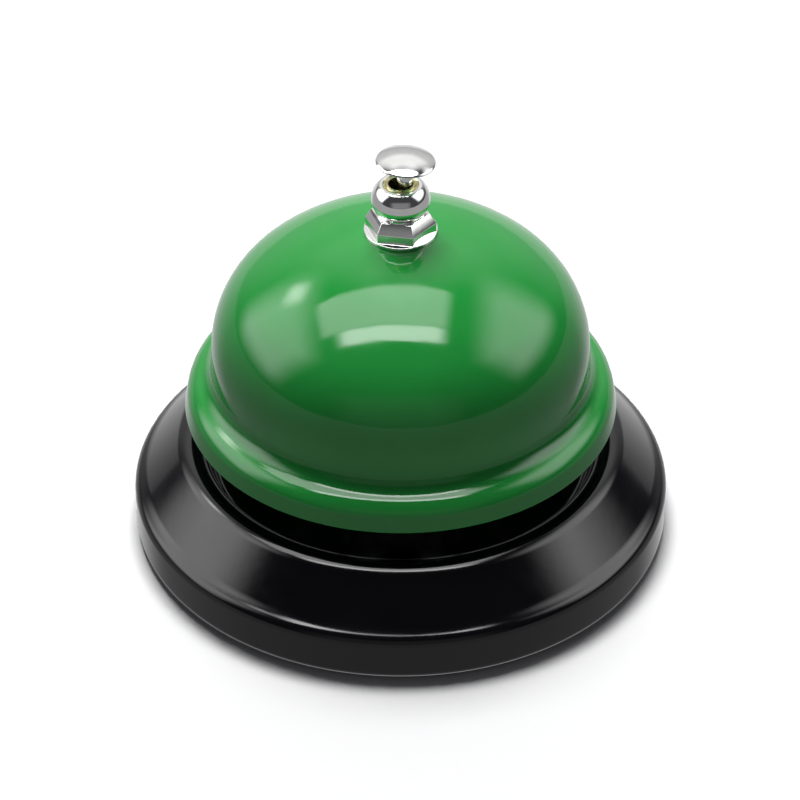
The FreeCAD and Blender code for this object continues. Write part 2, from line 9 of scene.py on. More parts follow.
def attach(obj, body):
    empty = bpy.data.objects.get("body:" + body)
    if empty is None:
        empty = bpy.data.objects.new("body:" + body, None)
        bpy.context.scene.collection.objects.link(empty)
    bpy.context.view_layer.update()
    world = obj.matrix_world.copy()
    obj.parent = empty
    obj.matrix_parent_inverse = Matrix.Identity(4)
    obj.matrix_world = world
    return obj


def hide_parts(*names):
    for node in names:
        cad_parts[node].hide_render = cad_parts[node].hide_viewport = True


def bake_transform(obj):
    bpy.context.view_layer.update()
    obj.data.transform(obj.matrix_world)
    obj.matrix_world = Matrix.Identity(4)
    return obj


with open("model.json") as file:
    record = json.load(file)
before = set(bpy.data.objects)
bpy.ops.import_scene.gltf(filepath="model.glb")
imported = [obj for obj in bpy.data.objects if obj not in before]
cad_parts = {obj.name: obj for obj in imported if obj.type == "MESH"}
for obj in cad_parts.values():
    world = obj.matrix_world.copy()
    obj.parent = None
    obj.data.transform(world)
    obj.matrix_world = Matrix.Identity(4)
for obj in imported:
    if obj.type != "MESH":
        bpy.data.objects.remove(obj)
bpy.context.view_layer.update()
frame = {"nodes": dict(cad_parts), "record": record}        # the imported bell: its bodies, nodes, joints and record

# Counter service bell. Outlines are (radius, height) in millimetres, in the frame's own axes,
# and become metres when a mesh is made. Angles are in degrees.
MM = 0.001

# ---- whole object ------------------------------------------------------------------------
SHEET = 0.8
LEAN = 2.8                       # the plunger leans towards +X
LEAN_HEIGHT = 45.7
SEGMENTS = 240                   # round the large turned pieces
FINE_SEGMENTS = 120              # round the small ones
CORNER_POINTS = 5                # along each rounded corner of an outline
WELD = 0.0005                    # points closer than this become one
CORNER_SHARE = 0.45              # the most of a side that one rounded corner takes
FLAT_FACE_WEIGHT = 80            # above 50, larger faces lead the smooth shading

# ---- base --------------------------------------------------------------------------------
BASE_RADIUS = 37.5
CURL_RADIUS = 1.2
LIP_BOTTOM = 0.5
LIP_INNER_RADIUS = 35.0
BRIM_EDGE_RADIUS = 1.8
BRIM_EDGE_HEIGHT = 5.9
BRIM_NORMAL = 60.0
SWEEP_RADIUS = 4.0
CREST_RADIUS = 29.4
CREST_ROUNDING = 2.6
CREST_TOP = 14.1
FLOOR_TOP = 9.8
FLOOR_FILLET = 2.0
FLOOR_MIDDLE = 17.0              # a ring of points that keeps the flat floor's quads short
FOOT_INNER_RADIUS = 33.4
FOOT_OUTER_RADIUS = 36.2
FOOT_UPPER_LIP_RADIUS = 35.9
FOOT_TOP = 2.0
FOOT_EDGE = 0.25                 # rounding of the moulded edges

# ---- dome --------------------------------------------------------------------------------
SKIRT_BOTTOM = 19.45
SKIRT_FLARE = 11.3
SHOULDER_CENTRE = (26.5, 20.95)
SHOULDER_RADIUS = 3.2
GROOVE_RADIUS = 3.0
WALL_RADIUS = 26.08
WALL_TOP = 28.75
KNUCKLE_RADIUS = 15.3
CAP_RADIUS = 31.61
DOME_HOLE_RADIUS = 2.6

# ---- finial nut and its bush -------------------------------------------------------------
NUT_TURN = -10.0
NUT_BOTTOM = 47.86
NUT_RECESS_RADIUS = 4.1
NUT_RECESS_TOP = 48.1
FLANGE_RADIUS = 5.0
FLANGE_BOTTOM = 47.74
FLANGE_TOP = 48.25
NUT_CORNER_RADIUS = 4.86
NUT_CORNER_SPAN = 1.05           # angle each side of a corner that takes the closest points
NUT_HEX_TOP = 49.6
NUT_EDGE = 0.10                  # rounding of the plated edges
NUT_SHOULDER_CORNER = 3.95
NUT_SHOULDER_TOP = 51.0
NECK_RADIUS = 3.35
NECK_HEIGHT = 51.3
BALL_RADIUS = 4.0
BALL_CENTRE = 52.9
BALL_TOP = 55.3
BALL_TOP_RADIUS = 2.9
POST_RADIUS = 2.5
BUSH_RADIUS = 2.42
BUSH_BORE = 1.7
BUSH_BOTTOM = 51.8
BUSH_OUTER_RIM = 55.15
BUSH_INNER_RIM = 55.4
BUSH_EDGE = 0.06                 # rounding of its edges, and half the width of its groove
BUSH_GROOVE_DEPTH = 0.14
BUSH_GROOVE_SLOPE = 0.04         # how much lower the groove's outer edge is than its inner one

# ---- plunger -----------------------------------------------------------------------------
TOTAL_HEIGHT = 60.0
ROD_RADIUS = 0.75
ROD_TOP = 59.3
BUTTON_RADIUS = 3.95
BUTTON_EDGE = 59.0
BUTTON_EDGE_THICKNESS = 0.3
BUTTON_EDGE_INSET = 0.075        # of the centre that the edge is rounded about
BUTTON_EDGE_ARC = (60, -75)
BUTTON_EDGE_RETURN = (0.5, 0.03)  # how far in and down the underside starts
BUTTON_STEM_FLARE = (0.2, 0.05)  # how far out and up it leaves the sleeve
BUTTON_UNDER = 58.5
COLLAR_RADIUS = 1.1
COLLAR_BOTTOM = 51.6
COLLAR_EDGE = 0.12
SPRING_BOTTOM = 41.0
SPRING_WIRE = 0.3
SPRING_WIRE_SIDES = 12
SPRING_RADIUS = 1.08             # of the middle of the wire
SPRING_TURNS = 9
SPRING_TURN_RINGS = 36           # sections along one turn
SPRING_CLOSED_TURNS = 1          # at each end, lying flat against the next
SPRING_CLOSED_PITCH = 1.05       # rise of a closed turn in wire thicknesses

# ---- camera and studio, in metres --------------------------------------------------------
CAMERA_PLACE = (-0.0001, -0.400, 0.31825)
CAMERA_PITCH = 36.77             # degrees below level
CAMERA_LENS = 161.27             # millimetres, as is the sensor
CAMERA_SENSOR = 36
STUDIO_FLOOR = 6.0
BELL_MIDDLE = (0, 0, 0.03)
# name, centre, point it faces, width, height, radiance, share of its size that fades out
SOFTBOXES = [
    ("overhead", (-0.10, 0.036, 0.62), (-0.10, 0.036, 0), 0.74, 0.27, 4.3, 0.22),
    ("overhead_front", (-0.055, -0.130, 0.62), (-0.055, -0.130, 0), 0.64, 0.105, 10.0, 0.3),
    ("left_side", (-0.58, 0.10, 0.35), BELL_MIDDLE, 0.84, 0.76, 3.0, 0.65),
    ("left_spot", (-0.42, 0.26, 0.44), BELL_MIDDLE, 0.17, 0.17, 6.0, 0.9),
    ("right_side", (0.58, 0.08, 0.42), BELL_MIDDLE, 0.86, 0.72, 2.8, 0.7),
    ("front_wall", (0, -1.6, 0.45), BELL_MIDDLE, 3.2, 1.3, 0.16, 0.6),
]
# name, centre, size, radiance
MATT_LIGHTS = [
    ("key", (-0.05, 0.29, 0.93), 0.42, 19.6),
    ("front", (0, -0.60, 0.75), 0.50, 0.1),
]
# the floor as the bell reflects it: its height, its radiance and its faded share
SHEEN_HEIGHT = -0.002
SHEEN_RADIANCE = 0.30
SHEEN_FEATHER = 0.01
ROOM = (0.05, 0.05, 0.055)
BACKDROP_HEADING = (0.55, 0.92)  # cosines of the heading off +Y over which the backdrop fades in
# sine of the angle above level, then the backdrop's radiance there
BACKDROP_FOOT = (0.0, (0.45, 0.45, 0.46))
BACKDROP_BANDS = [(0.45, 0.62), (0.62, 1.0), (0.88, 1.0)]
BACKDROP_HEAD = (0.99, (0.3, 0.3, 0.31))


# ---- outlines ----------------------------------------------------------------------------
def polar(centre, radius, angle):
    return (centre[0] + radius * cos(radians(angle)), centre[1] + radius * sin(radians(angle)))


def arc(centre, radius, start, end, steps):
    return [polar(centre, radius, start + (end - start) * step / steps)
            for step in range(steps + 1)]


def soften(points, radius, steps=CORNER_POINTS - 1):
    """Closed outline with every corner rounded, the same number of points to each."""
    result = []
    for before, corner, after in zip(points[-1:] + points[:-1], points, points[1:] + points[:1]):
        corner = Vector(corner)
        back = Vector(before) - corner
        ahead = Vector(after) - corner
        cut = min(radius, back.length * CORNER_SHARE, ahead.length * CORNER_SHARE)
        start = corner + (back.normalized() * cut if back.length else back)
        end = corner + (ahead.normalized() * cut if ahead.length else ahead)
        for step in range(steps + 1):
            t = step / steps
            point = start * (1 - t) ** 2 + corner * (2 * t * (1 - t)) + end * t ** 2
            result.append((point.x, point.y))
    return result


def crown(edge_radius, edge_height, top_height, steps):
    """Spherical cap from its top on the axis to its edge."""
    rise = top_height - edge_height
    radius = (rise ** 2 + edge_radius ** 2) / (2 * rise)
    centre = (0, top_height - radius)
    return arc(centre, radius, 90, degrees(atan2(edge_height - centre[1], edge_radius)), steps)


# ---- meshes ------------------------------------------------------------------------------
def skin(name, stations, joined=True):
    """Quads over a row of closed outlines in millimetres, welded where they meet."""
    mesh = bpy.data.meshes.new(name)
    built = bmesh.new()
    rows = [[built.verts.new(Vector(point) * MM) for point in station] for station in stations]
    pairs = list(zip(rows, rows[1:] + rows[:1])) if joined else list(zip(rows, rows[1:]))
    for row, following in pairs:
        for a, b, c, d in zip(row, row[1:] + row[:1], following[1:] + following[:1], following):
            built.faces.new((a, b, c, d))
    if not joined:
        built.faces.new(rows[0])
        built.faces.new(rows[-1])
    bmesh.ops.remove_doubles(built, verts=built.verts, dist=WELD * MM)
    bmesh.ops.recalc_face_normals(built, faces=built.faces)
    built.to_mesh(mesh)
    built.free()
    mesh.shade_smooth()
    piece = bpy.data.objects.new(name, mesh)
    bpy.context.scene.collection.objects.link(piece)
    even = piece.modifiers.new("even_normals", "WEIGHTED_NORMAL")
    even.weight = FLAT_FACE_WEIGHT
    return piece


def turned(name, outline, segments=SEGMENTS):
    """Piece turned on the bell's axis from a closed outline."""
    stations = []
    for segment in range(segments):
        angle = 2 * pi * segment / segments
        stations.append([(r * cos(angle), r * sin(angle), z) for r, z in outline])
    return skin(name, stations)


def leaned(piece):
    """Tips a piece drawn upright onto the plunger's leaning axis."""
    pivot = Vector((0, 0, LEAN_HEIGHT * MM))
    tip = Matrix.Rotation(radians(LEAN), 4, "Y")
    piece.data.transform(Matrix.Translation(pivot) @ tip @ Matrix.Translation(-pivot))
    return piece


# ---- base --------------------------------------------------------------------------------
def base_side(depth):
    """Outline of the pressed base from the axis to the lip, at a depth below its show side."""
    crest_centre = (CREST_RADIUS, CREST_TOP - CREST_ROUNDING)
    brim_centre = (BASE_RADIUS - BRIM_EDGE_RADIUS, BRIM_EDGE_HEIGHT)
    sweep_centre = polar(brim_centre, BRIM_EDGE_RADIUS + SWEEP_RADIUS, BRIM_NORMAL)
    across = sweep_centre[0] - crest_centre[0]
    down = sweep_centre[1] - crest_centre[1]
    reach = (CREST_ROUNDING + SWEEP_RADIUS) / hypot(across, down)
    slope_normal = degrees(acos(reach) + atan2(down, across))
    fillet_centre = (CREST_RADIUS - CREST_ROUNDING - FLOOR_FILLET, FLOOR_TOP + FLOOR_FILLET)
    curl_centre = (BASE_RADIUS - CURL_RADIUS, LIP_BOTTOM + CURL_RADIUS)
    side = [(0, FLOOR_TOP - depth), (FLOOR_MIDDLE, FLOOR_TOP - depth)]
    side += arc(fillet_centre, FLOOR_FILLET + depth, -90, 0, steps=10)
    side += arc(crest_centre, CREST_ROUNDING - depth, 180, slope_normal, steps=28)
    side += arc(sweep_centre, SWEEP_RADIUS + depth, 180 + slope_normal, 180 + BRIM_NORMAL, steps=10)
    side += arc(brim_centre, BRIM_EDGE_RADIUS - depth, BRIM_NORMAL, 0, steps=20)
    side += arc(curl_centre, CURL_RADIUS - depth, 0, -90, steps=14)
    return side


def base_pan():
    """Pressed base, closed at its foot by the rolled lip."""
    lip_centre = (LIP_INNER_RADIUS + SHEET / 2, LIP_BOTTOM + SHEET / 2)
    lip = arc(lip_centre, SHEET / 2, 270, 90, steps=10)
    return turned("base_pan", base_side(0) + lip + base_side(SHEET)[::-1])


def foot_gasket():
    """Rubber ring whose slot grips the base's lip."""
    lip_top = LIP_BOTTOM + SHEET
    outline = [(FOOT_INNER_RADIUS, 0), (FOOT_OUTER_RADIUS, 0), (FOOT_OUTER_RADIUS, LIP_BOTTOM),
               (LIP_INNER_RADIUS, LIP_BOTTOM), (LIP_INNER_RADIUS, lip_top),
               (FOOT_UPPER_LIP_RADIUS, lip_top), (FOOT_UPPER_LIP_RADIUS, FOOT_TOP),
               (FOOT_INNER_RADIUS, FOOT_TOP)]
    return turned("foot_gasket", soften(outline, FOOT_EDGE))


# ---- dome --------------------------------------------------------------------------------
def dome_side(depth):
    """Outline of the dome from its hem to the centre hole, at a depth inside its show side."""
    knuckle_centre = (WALL_RADIUS - KNUCKLE_RADIUS, WALL_TOP)
    centre_gap = CAP_RADIUS - KNUCKLE_RADIUS
    cap_centre = (0, WALL_TOP - sqrt(centre_gap ** 2 - knuckle_centre[0] ** 2))
    knuckle_end = degrees(acos(knuckle_centre[0] / centre_gap))
    groove_r = WALL_RADIUS + GROOVE_RADIUS
    spread = SHOULDER_RADIUS + GROOVE_RADIUS
    groove_z = SHOULDER_CENTRE[1] + sqrt(spread ** 2 - (groove_r - SHOULDER_CENTRE[0]) ** 2)
    meeting = degrees(atan2(groove_z - SHOULDER_CENTRE[1], groove_r - SHOULDER_CENTRE[0]))
    skirt_top = polar(SHOULDER_CENTRE, SHOULDER_RADIUS - depth, SKIRT_FLARE)
    hem = SKIRT_BOTTOM + SHEET / 2
    skirt_end = (skirt_top[0] + (skirt_top[1] - hem) * tan(radians(SKIRT_FLARE)), hem)
    hole_angle = degrees(acos(DOME_HOLE_RADIUS / (CAP_RADIUS - depth)))
    side = [skirt_end]
    side += arc(SHOULDER_CENTRE, SHOULDER_RADIUS - depth, SKIRT_FLARE, meeting, steps=26)
    side += arc((groove_r, groove_z), GROOVE_RADIUS + depth, 180 + meeting, 180, steps=12)
    side += [(WALL_RADIUS - depth, (groove_z + WALL_TOP) / 2)]
    side += arc(knuckle_centre, KNUCKLE_RADIUS - depth, 0, knuckle_end, steps=36)
    side += arc(cap_centre, CAP_RADIUS - depth, knuckle_end, hole_angle, steps=30)
    return side


def bell_dome():
    """The bell, of even thickness, with a round hem."""
    outside = dome_side(0)
    inside = dome_side(SHEET)
    middle = ((outside[0][0] + inside[0][0]) / 2, outside[0][1])
    hem = arc(middle, SHEET / 2, 180, 360, steps=10)[1:-1]
    return turned("bell_dome", inside[::-1] + hem + outside)


# ---- finial nut --------------------------------------------------------------------------
def hexagon_reach(flat, angle):
    """Distance from the axis to a hexagon with rounded corners, angle from one corner."""
    off_flat = radians(angle % 60 - 30)
    inner = flat - NUT_EDGE
    if abs(flat * tan(off_flat)) <= inner * tan(radians(30)):
        return flat / cos(off_flat)
    corner = inner / cos(radians(30))
    off_corner = radians(30) - abs(off_flat)
    return corner * cos(off_corner) + sqrt(NUT_EDGE ** 2 - (corner * sin(off_corner)) ** 2)


def sector_angles(corner_steps=3, flat_steps=18):
    """Angles over one flat, from corner to corner, closer together at the corners."""
    flat_span = 60 - 2 * NUT_CORNER_SPAN
    corner = [NUT_CORNER_SPAN * step / corner_steps for step in range(corner_steps + 1)]
    flat = [NUT_CORNER_SPAN + flat_span * step / flat_steps for step in range(1, flat_steps)]
    return corner + flat + [60 - angle for angle in corner[:0:-1]]


def ball_outline():
    """The flattened ball from its neck to its mouth: one arc below its widest and one above."""
    low_drop = BALL_CENTRE - NECK_HEIGHT
    low_inset = BALL_RADIUS - NECK_RADIUS
    low_round = (low_inset ** 2 + low_drop ** 2) / (2 * low_inset)
    high_rise = BALL_TOP - BALL_CENTRE
    high_inset = BALL_RADIUS - BALL_TOP_RADIUS
    high_round = (high_inset ** 2 + high_rise ** 2) / (2 * high_inset)
    low_centre = (BALL_RADIUS - low_round, BALL_CENTRE)
    high_centre = (BALL_RADIUS - high_round, BALL_CENTRE)
    low_angle = -degrees(acos((NECK_RADIUS - low_centre[0]) / low_round))
    high_angle = degrees(acos((BALL_TOP_RADIUS - high_centre[0]) / high_round))
    return (arc(low_centre, low_round, low_angle, 0, steps=12)
            + arc(high_centre, high_round, 0, high_angle, steps=16)[1:])


def finial():
    """Flanged hexagon, faceted shoulder, neck and ball, as outlines that follow the hexagon."""
    flat = NUT_CORNER_RADIUS * cos(radians(30))
    shoulder_flat = NUT_SHOULDER_CORNER * cos(radians(30))
    ball = ball_outline()[2:]
    stations = []
    for sector in range(6):
        for angle in sector_angles():
            reach = hexagon_reach(flat, angle)
            shoulder = hexagon_reach(shoulder_flat, angle)
            corners = [
                (NUT_RECESS_RADIUS, NUT_RECESS_TOP), (NUT_RECESS_RADIUS, NUT_BOTTOM),
                (FLANGE_RADIUS, FLANGE_BOTTOM), (FLANGE_RADIUS, FLANGE_TOP),
                (reach, FLANGE_TOP), (reach, NUT_HEX_TOP), (shoulder, NUT_SHOULDER_TOP),
                (NECK_RADIUS, NUT_SHOULDER_TOP), (NECK_RADIUS, NECK_HEIGHT), ball[0],
                ball[-1], (BUSH_RADIUS, BALL_TOP), (BUSH_RADIUS, BUSH_BOTTOM),
                (POST_RADIUS, BUSH_BOTTOM), (POST_RADIUS, NUT_RECESS_TOP)]
            outline = soften(corners, NUT_EDGE)
            # The ball's curve runs between the middles of its first and last corners.
            first_middle = corners.index(ball[0]) * CORNER_POINTS + CORNER_POINTS // 2
            outline[first_middle + 1:first_middle + CORNER_POINTS] = ball[:-1]
            turn = radians(NUT_TURN + sector * 60 + angle)
            stations.append([(r * cos(turn), r * sin(turn), z) for r, z in outline])
    return skin("finial", stations)


def brass_bush():
    """Bush in the nut's mouth, with a turned groove in its crowned face."""
    groove = (BUSH_RADIUS + BUSH_BORE) / 2
    face = (BUSH_OUTER_RIM + BUSH_INNER_RIM) / 2
    outline = [(BUSH_BORE, BUSH_BOTTOM), (BUSH_RADIUS, BUSH_BOTTOM), (BUSH_RADIUS, BUSH_OUTER_RIM),
               (groove + BUSH_EDGE, face - BUSH_GROOVE_SLOPE), (groove, face - BUSH_GROOVE_DEPTH),
               (groove - BUSH_EDGE, face), (BUSH_BORE, BUSH_INNER_RIM)]
    return turned("brass_bush", soften(outline, BUSH_EDGE), FINE_SEGMENTS)


# ---- plunger -----------------------------------------------------------------------------
def press_button():
    """Crowned button with a rolled edge and a blind hole for the rod."""
    under_edge = BUTTON_EDGE - BUTTON_EDGE_THICKNESS
    half_edge = BUTTON_EDGE_THICKNESS / 2
    edge_in, edge_down = BUTTON_EDGE_RETURN
    stem_out, stem_up = BUTTON_STEM_FLARE
    rim_centre = (BUTTON_RADIUS - BUTTON_EDGE_INSET, BUTTON_EDGE - half_edge)
    outline = crown(BUTTON_RADIUS, BUTTON_EDGE, TOTAL_HEIGHT, steps=26)
    outline += arc(rim_centre, half_edge, *BUTTON_EDGE_ARC, steps=10)
    outline += [(BUTTON_RADIUS - edge_in, under_edge - edge_down),
                (COLLAR_RADIUS + stem_out, BUTTON_UNDER + stem_up), (COLLAR_RADIUS, BUTTON_UNDER),
                (ROD_RADIUS, BUTTON_UNDER), (ROD_RADIUS, ROD_TOP), (0, ROD_TOP)]
    return leaned(turned("press_button", outline, FINE_SEGMENTS))


def collar():
    """Sleeve on the rod, from the button down to the spring."""
    outline = [(ROD_RADIUS, COLLAR_BOTTOM), (COLLAR_RADIUS, COLLAR_BOTTOM),
               (COLLAR_RADIUS, BUTTON_UNDER), (ROD_RADIUS, BUTTON_UNDER)]
    return leaned(turned("collar", soften(outline, COLLAR_EDGE), FINE_SEGMENTS))


def spring_height(turn):
    """Height of the wire's middle: a shallow pitch in the end turns and an even one between."""
    low = SPRING_BOTTOM + SPRING_WIRE / 2
    high = COLLAR_BOTTOM - SPRING_WIRE / 2
    closed = SPRING_CLOSED_TURNS * SPRING_WIRE * SPRING_CLOSED_PITCH
    if turn < SPRING_CLOSED_TURNS:
        return low + closed * turn / SPRING_CLOSED_TURNS
    if turn > SPRING_TURNS - SPRING_CLOSED_TURNS:
        return high - closed * (SPRING_TURNS - turn) / SPRING_CLOSED_TURNS
    share = (turn - SPRING_CLOSED_TURNS) / (SPRING_TURNS - 2 * SPRING_CLOSED_TURNS)
    return low + closed + (high - low - 2 * closed) * share


def coil_spring():
    """Round wire wound up the rod from its seat to the sleeve."""
    section = arc((0, 0), SPRING_WIRE / 2, 0, 360, SPRING_WIRE_SIDES)[:-1]
    stations = []
    for ring in range(SPRING_TURNS * SPRING_TURN_RINGS + 1):
        turn = ring / SPRING_TURN_RINGS
        angle = 2 * pi * turn
        outward = Vector((cos(angle), sin(angle), 0))
        middle = outward * SPRING_RADIUS + Vector((0, 0, spring_height(turn)))
        stations.append([middle + outward * x + Vector((0, 0, y)) for x, y in section])
    return leaned(skin("coil_spring", stations, joined=False))


# ---- shader nodes ------------------------------------------------------------------------
class Shading:
    """A node tree, with short ways to add to it."""

    def __init__(self, tree):
        self.tree = tree

    def node(self, kind, **inputs):
        made = self.tree.nodes.new(kind)
        for socket, value in inputs.items():
            made.inputs[socket].default_value = value
        return made

    def link(self, source, target):
        self.tree.links.new(source, target)

    def rescale(self, value, source, target, smooth=False):
        """The value moved from one range to another, straight or eased at its ends."""
        spread = self.node("ShaderNodeMapRange")
        if smooth:
            spread.interpolation_type = "SMOOTHSTEP"
        for socket, number in zip(("From Min", "From Max", "To Min", "To Max"), source + target):
            spread.inputs[socket].default_value = number
        self.link(value, spread.inputs["Value"])
        return spread.outputs["Result"]

    def maths(self, operation, *values):
        made = self.node("ShaderNodeMath")
        made.operation = operation
        for socket, value in zip(made.inputs, values):
            self.link(value, socket)
        return made.outputs["Value"]


class Finish(Shading):
    """One procedural material built round a Principled shader."""

    def __init__(self, name, colour, **sockets):
        self.material = bpy.data.materials.new(name)
        self.material.use_nodes = True
        super().__init__(self.material.node_tree)
        self.shader = self.tree.nodes["Principled BSDF"]
        self.place = self.node("ShaderNodeTexCoord").outputs["Object"]
        self.normal = None
        self.shader.inputs["Base Color"].default_value = (*colour, 1)
        for socket, value in sockets.items():
            self.shader.inputs[socket.replace("_", " ")].default_value = value

    def noise(self, scale, detail=2.0, stretch=(1, 1, 1)):
        mapping = self.node("ShaderNodeMapping", Scale=stretch)
        self.link(self.place, mapping.inputs["Vector"])
        texture = self.node("ShaderNodeTexNoise", Scale=scale, Detail=detail)
        self.link(mapping.outputs["Vector"], texture.inputs["Vector"])
        return texture.outputs["Fac"]

    def vary_colour(self, pattern, first, second, start=0.35, end=0.65):
        ramp = self.node("ShaderNodeValToRGB")
        for element, place, colour in zip(ramp.color_ramp.elements, (start, end), (first, second)):
            element.position = place
            element.color = (*colour, 1)
        self.link(pattern, ramp.inputs["Fac"])
        self.link(ramp.outputs["Color"], self.shader.inputs["Base Color"])

    def vary_roughness(self, pattern, low, high):
        roughness = self.rescale(pattern, (0.3, 0.7), (low, high))
        self.link(roughness, self.shader.inputs["Roughness"])

    def bump(self, pattern, distance):
        raised = self.node("ShaderNodeBump", Strength=1.0, Distance=distance)
        self.link(pattern, raised.inputs["Height"])
        if self.normal:
            self.link(self.normal, raised.inputs["Normal"])
        self.normal = raised.outputs["Normal"]
        self.link(self.normal, self.shader.inputs["Normal"])


# ---- materials ---------------------------------------------------------------------------
def green_gloss_paint():
    finish = Finish("green_gloss_paint", (0.018, 0.305, 0.048), IOR=1.5)
    finish.vary_colour(finish.noise(90, 3), (0.016, 0.292, 0.045), (0.020, 0.318, 0.051))
    finish.vary_roughness(finish.noise(300, 4), 0.05, 0.10)
    finish.bump(finish.noise(70, 1), 0.00012)
    finish.bump(finish.noise(750, 2), 0.000006)
    return finish.material


def black_gloss_paint():
    finish = Finish("black_gloss_paint", (0.002, 0.002, 0.0035), IOR=1.5)
    finish.vary_colour(finish.noise(120, 3), (0.0015, 0.0015, 0.003), (0.003, 0.003, 0.0045))
    finish.vary_roughness(finish.noise(300, 4), 0.09, 0.15)
    finish.bump(finish.noise(60, 1), 0.00010)
    finish.bump(finish.noise(700, 2), 0.000006)
    return finish.material


def chrome_plate():
    finish = Finish("chrome_plate", (0.88, 0.885, 0.87), Metallic=1.0)
    finish.vary_colour(finish.noise(500, 3), (0.86, 0.86, 0.83), (0.90, 0.905, 0.90))
    finish.vary_roughness(finish.noise(900, 5, (1, 1, 4)), 0.03, 0.10)
    finish.bump(finish.noise(420, 2), 0.000012)
    return finish.material


def brass():
    finish = Finish("brass", (0.62, 0.52, 0.24), Metallic=1.0)
    finish.vary_colour(finish.noise(700, 4), (0.50, 0.47, 0.20), (0.74, 0.68, 0.46))
    finish.vary_roughness(finish.noise(1200, 4, (1, 1, 6)), 0.16, 0.34)
    finish.bump(finish.noise(500, 3, (1, 1, 14)), 0.00002)
    return finish.material


def zinc_steel():
    finish = Finish("zinc_steel", (0.60, 0.61, 0.63), Metallic=1.0)
    finish.vary_colour(finish.noise(260, 5), (0.50, 0.51, 0.53), (0.68, 0.69, 0.70))
    finish.vary_roughness(finish.noise(1400, 4), 0.24, 0.42)
    finish.bump(finish.noise(1800, 4), 0.00001)
    return finish.material


def spring_steel():
    finish = Finish("spring_steel", (0.36, 0.36, 0.37), Metallic=1.0)
    finish.vary_colour(finish.noise(600, 4), (0.30, 0.30, 0.31), (0.46, 0.45, 0.43))
    finish.vary_roughness(finish.noise(1500, 3, (1, 1, 5)), 0.20, 0.36)
    finish.bump(finish.noise(2200, 3), 0.000006)
    return finish.material


def black_rubber():
    finish = Finish("black_rubber", (0.018, 0.018, 0.019), IOR=1.48)
    finish.vary_colour(finish.noise(420, 5), (0.013, 0.013, 0.014), (0.034, 0.034, 0.035))
    finish.vary_roughness(finish.noise(900, 3), 0.62, 0.82)
    finish.bump(finish.noise(2600, 4), 0.00004)
    return finish.material


def red_fibre():
    finish = Finish("red_fibre", (0.26, 0.035, 0.02))
    finish.vary_colour(finish.noise(900, 5, (1, 6, 1)), (0.19, 0.022, 0.014), (0.33, 0.055, 0.03))
    finish.vary_roughness(finish.noise(900, 3), 0.55, 0.75)
    finish.bump(finish.noise(1600, 4, (1, 6, 1)), 0.00003)
    return finish.material


def white_nylon():
    finish = Finish("white_nylon", (0.78, 0.77, 0.72),
                    Subsurface_Weight=0.25, Subsurface_Scale=0.001)
    finish.vary_colour(finish.noise(300, 3), (0.74, 0.73, 0.67), (0.81, 0.80, 0.76))
    finish.vary_roughness(finish.noise(1200, 3), 0.36, 0.50)
    finish.bump(finish.noise(1900, 2), 0.000008)
    return finish.material


FINISHES = {maker.__name__: maker for maker in (
    green_gloss_paint, black_gloss_paint, chrome_plate, brass, zinc_steel,
    spring_steel, black_rubber, red_fibre, white_nylon)}


# ---- studio ------------------------------------------------------------------------------
def flat_panel(name, width, height):
    """One quad in the XY plane that belongs to the studio and not to the bell."""
    mesh = bpy.data.meshes.new(name)
    corners = [(x * width / 2, y * height / 2, 0) for x, y in ((-1, -1), (1, -1), (1, 1), (-1, 1))]
    mesh.from_pydata(corners, [], [(0, 1, 2, 3)])
    panel = bpy.data.objects.new(name, mesh)
    bpy.context.scene.collection.objects.link(panel)
    return panel


def studio_floor():
    """Pale paper that the camera sees. floor_sheen stands for it in reflections and bounce."""
    floor = flat_panel("studio_floor", STUDIO_FLOOR, STUDIO_FLOOR)
    paper = Finish("studio_paper", (0.86, 0.86, 0.865), Roughness=0.9, Specular_IOR_Level=0.0)
    paper.bump(paper.noise(1500, 3), 0.00002)
    floor.data.materials.append(paper.material)
    floor.visible_diffuse = False
    floor.visible_glossy = False


def aim(holder, centre, target):
    holder.location = centre
    direction = Vector(target) - Vector(centre)
    holder.rotation_euler = direction.to_track_quat("-Z", "Y").to_euler()
    holder.visible_camera = False


def softbox(name, centre, target, width, height, radiance, feather):
    """Glow seen only in reflections. Its edges fade out over the share feather of its size."""
    panel = flat_panel(name, width, height)
    aim(panel, centre, target)
    panel.visible_diffuse = False
    panel.visible_shadow = False
    cloth = Finish(name, (0, 0, 0))
    axes = cloth.node("ShaderNodeSeparateXYZ")
    cloth.link(cloth.place, axes.inputs["Vector"])
    fades = []
    for axis, reach in (("X", width / 2), ("Y", height / 2)):
        distance = cloth.maths("ABSOLUTE", axes.outputs[axis])
        fades.append(cloth.rescale(distance, (reach, reach * (1 - feather)), (0, 1), smooth=True))
    glow = cloth.node("ShaderNodeEmission", Color=(radiance, radiance, radiance, 1))
    cloth.link(cloth.maths("MULTIPLY", *fades), glow.inputs["Strength"])
    clear = cloth.node("ShaderNodeBsdfTransparent")
    both = cloth.node("ShaderNodeAddShader")
    cloth.link(glow.outputs[0], both.inputs[0])
    cloth.link(clear.outputs[0], both.inputs[1])
    cloth.link(both.outputs[0], cloth.tree.nodes["Material Output"].inputs["Surface"])
    cloth.tree.nodes.remove(cloth.shader)
    panel.data.materials.append(cloth.material)
    return panel


def matt_light(name, centre, size, radiance):
    """Square light that shapes the matt shading and shows in no reflection."""
    light = bpy.data.lights.new(name, "AREA")
    light.size = size
    light.energy = radiance * pi * size ** 2
    holder = bpy.data.objects.new(name, light)
    bpy.context.scene.collection.objects.link(holder)
    aim(holder, centre, BELL_MIDDLE)
    holder.visible_glossy = False


